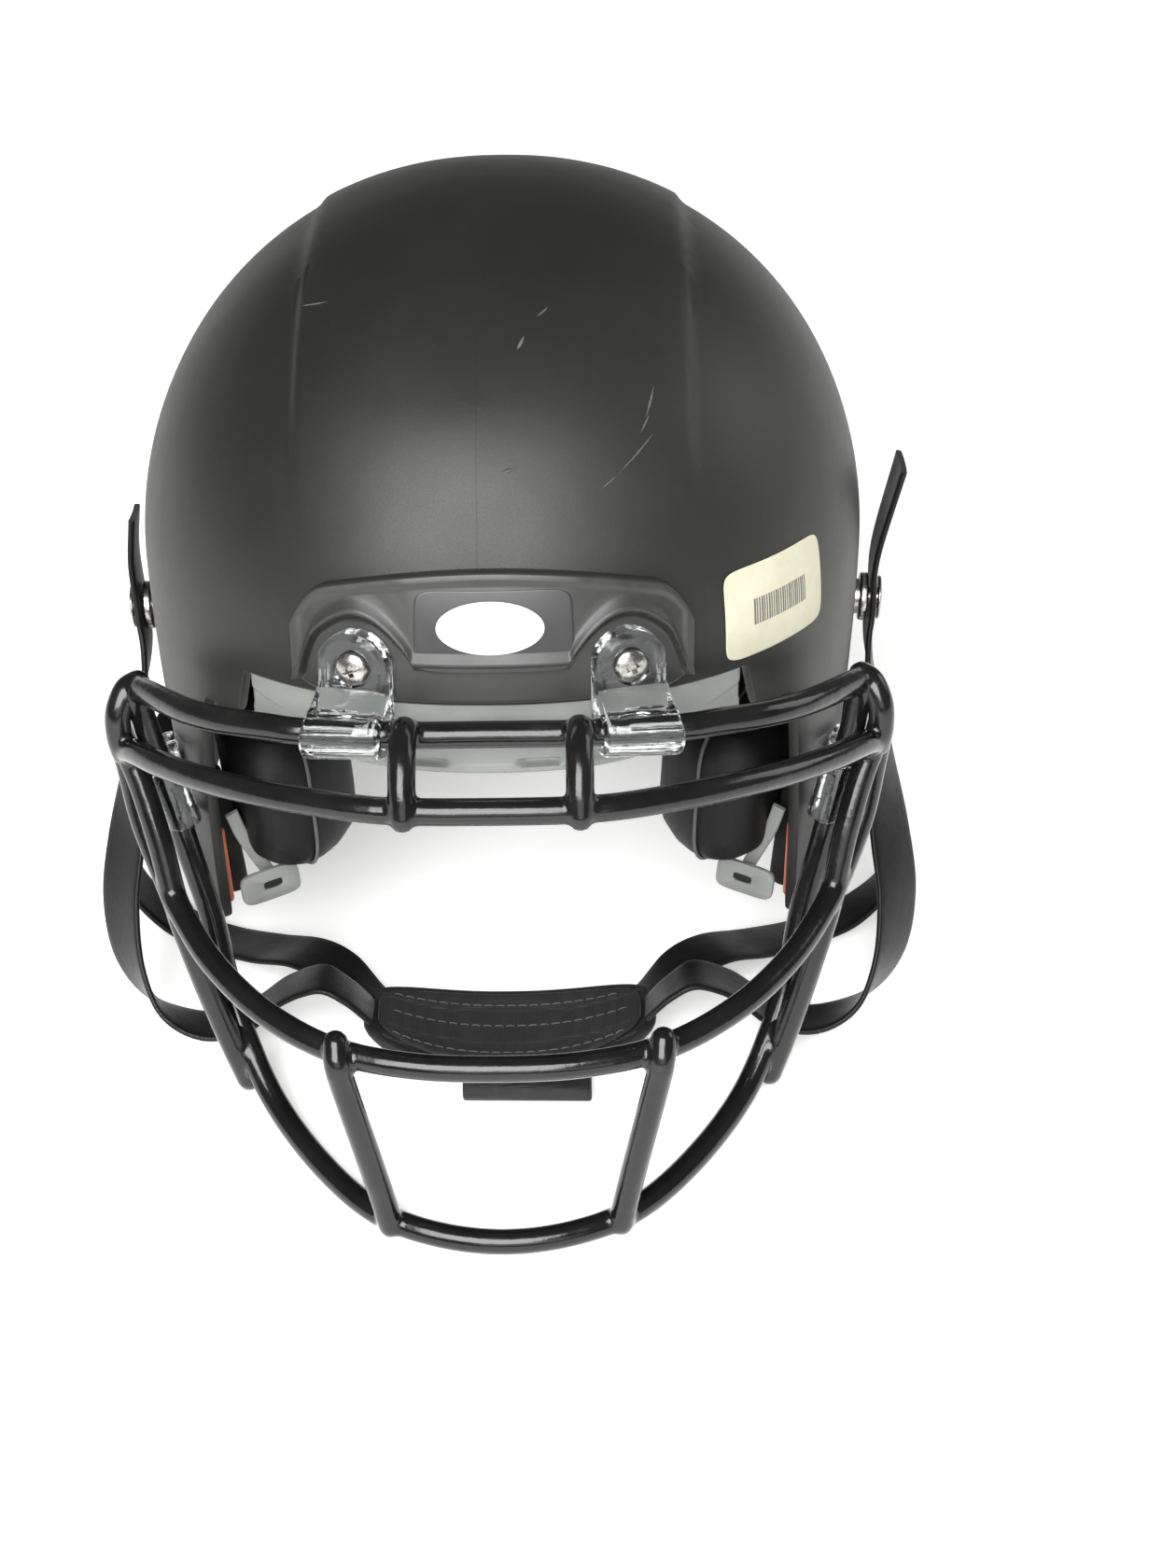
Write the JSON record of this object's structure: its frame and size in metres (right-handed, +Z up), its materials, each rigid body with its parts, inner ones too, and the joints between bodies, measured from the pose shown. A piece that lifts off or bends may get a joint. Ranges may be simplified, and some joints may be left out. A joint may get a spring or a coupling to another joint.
{
  "type": "american football helmet",
  "caption": "Youth football helmet with matte shell, front bumper, wire face mask on clear loop clips, air-cell liner, jaw pads, and a chin strap with padded cup held by press studs",
  "frame": {"origin": "centre of the helmet's overall box in plan, on the floor that the chin bar and the rear rim stand on", "axes": "+Z up, -Y is the front of the helmet, +Y its back, X across"},
  "size_m": [0.2544, 0.3204, 0.233],
  "materials": {
    "shell_plastic": "matte paint",
    "bumper_plastic": "satin",
    "emblem_white": "matte",
    "label_paper": "matte",
    "grey_plastic": "satin",
    "cell_plastic": "soft gloss",
    "pad_fabric": "knitted",
    "orange_plastic": "satin",
    "coated_wire": "vinyl dip",
    "clear_plastic": "clear",
    "zinc_steel": "polished",
    "strap_webbing": "woven",
    "cup_fabric": "stitched"
  },
  "bodies": {
    "helmet": {"outer_shell": "shell_plastic", "front_bumper": "bumper_plastic", "front_emblem": "emblem_white", "brow_band": "grey_plastic", "rear_bumper": "bumper_plastic", "size_label": "label_paper", "bonnet": "grey_plastic", "crown_cells": "cell_plastic", "front_cells": "cell_plastic", "rear_cells": "cell_plastic", "side_cells_left": "cell_plastic", "side_cells_right": "cell_plastic", "crown_pad": "pad_fabric", "forehead_pad": "pad_fabric", "rear_pad": "pad_fabric", "temple_pads": "pad_fabric", "jaw_pad_left": "pad_fabric", "jaw_pad_right": "pad_fabric", "jaw_carrier_left": "grey_plastic", "jaw_carrier_right": "grey_plastic", "jaw_trim_left": "orange_plastic", "jaw_trim_right": "orange_plastic", "brow_bar": "coated_wire", "eye_bar": "coated_wire", "jaw_bar": "coated_wire", "chin_bar": "coated_wire", "nose_stubs": "coated_wire", "end_links": "coated_wire", "side_upright_left": "coated_wire", "side_upright_right": "coated_wire", "front_upright_left": "coated_wire", "front_upright_right": "coated_wire", "brow_clip_left": "clear_plastic", "brow_clip_right": "clear_plastic", "side_clip_left": "clear_plastic", "side_clip_right": "clear_plastic", "brow_screws": "zinc_steel", "side_screws": "zinc_steel", "clip_nuts": "zinc_steel", "snap_studs": "zinc_steel"},
    "upper_strap_body_left": {"upper_snap_left": "zinc_steel", "upper_strap_left": "strap_webbing"},
    "lower_strap_body_left": {"lower_snap_left": "zinc_steel", "lower_strap_left": "strap_webbing"},
    "upper_strap_body_right": {"upper_snap_right": "zinc_steel", "upper_strap_right": "strap_webbing"},
    "lower_strap_body_right": {"lower_snap_right": "zinc_steel", "lower_strap_right": "strap_webbing"},
    "cup_body": {"chin_cup": "cup_fabric", "cup_lining": "cup_fabric"}
  },
  "joints": [
    {"name": "upper_snap_pull_left", "type": "slide", "parent": "helmet", "child": "upper_strap_body_left", "axis": [-0.9975, -0.0574, -0.0414], "range_m": [0, 0.006]},
    {"name": "lower_snap_pull_left", "type": "slide", "parent": "helmet", "child": "lower_strap_body_left", "axis": [-0.9572, 0.2216, -0.1864], "range_m": [0, 0.006]},
    {"name": "upper_snap_pull_right", "type": "slide", "parent": "helmet", "child": "upper_strap_body_right", "axis": [0.9975, -0.0574, -0.0414], "range_m": [0, 0.006]},
    {"name": "lower_snap_pull_right", "type": "slide", "parent": "helmet", "child": "lower_strap_body_right", "axis": [0.9572, 0.2216, -0.1864], "range_m": [0, 0.006]},
    {"name": "cup_rock", "type": "hinge", "parent": "helmet", "child": "cup_body", "pos_m": [0, -0.07555, 0.02128], "axis": [-1, 0, 0], "range_deg": [-12, 25]}
  ]
}
